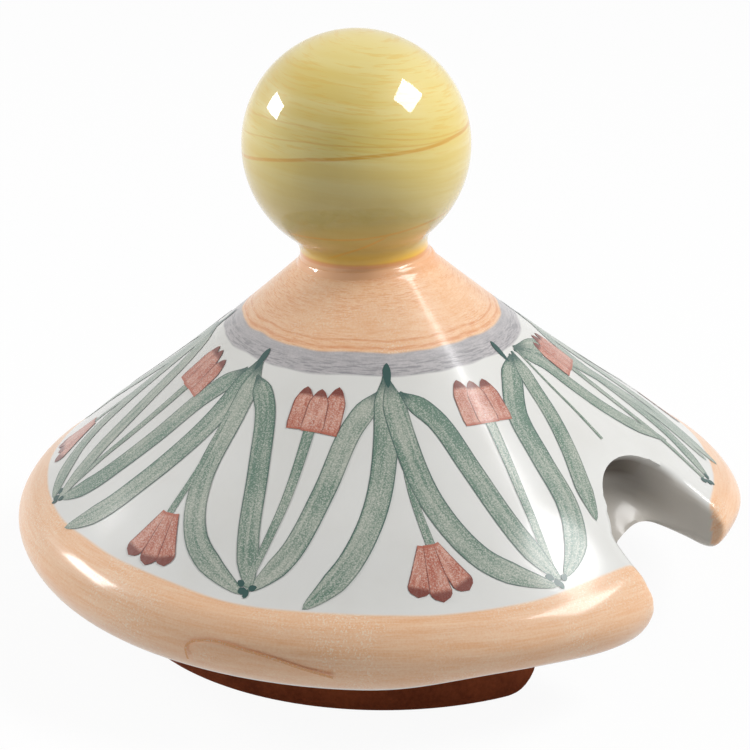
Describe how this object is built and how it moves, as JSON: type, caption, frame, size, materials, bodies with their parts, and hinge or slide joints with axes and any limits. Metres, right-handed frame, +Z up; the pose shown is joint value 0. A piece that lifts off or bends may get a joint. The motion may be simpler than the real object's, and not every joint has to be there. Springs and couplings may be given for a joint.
{
  "type": "earthenware pot lid",
  "caption": "Conical glazed earthenware pot lid with a leaning hollow ball knob, a rolled rim cut by a spoon notch, and a bare clay locating ring that gaps under the notch.",
  "frame": {"origin": "centre of the locating ring at its foot", "axes": "+Z up along the ring's axis, +X out through the middle of the spoon notch"},
  "size_m": [0.098, 0.1, 0.0801],
  "materials": {
    "wall_glaze": "clear gloss glaze over brush-painted bands and a leaf frieze",
    "knob_glaze": "gloss glaze, pale yellow with brushed ochre streaks",
    "bare_clay": "unglazed red earthenware, matt",
    "slip": "fired slip of the same red clay, matt"
  },
  "bodies": {
    "root": {"lid_wall": "wall_glaze", "ball_knob": "knob_glaze", "knob_slip": "slip", "locating_ring": "bare_clay", "ring_slip": "slip"}
  },
  "joints": []
}
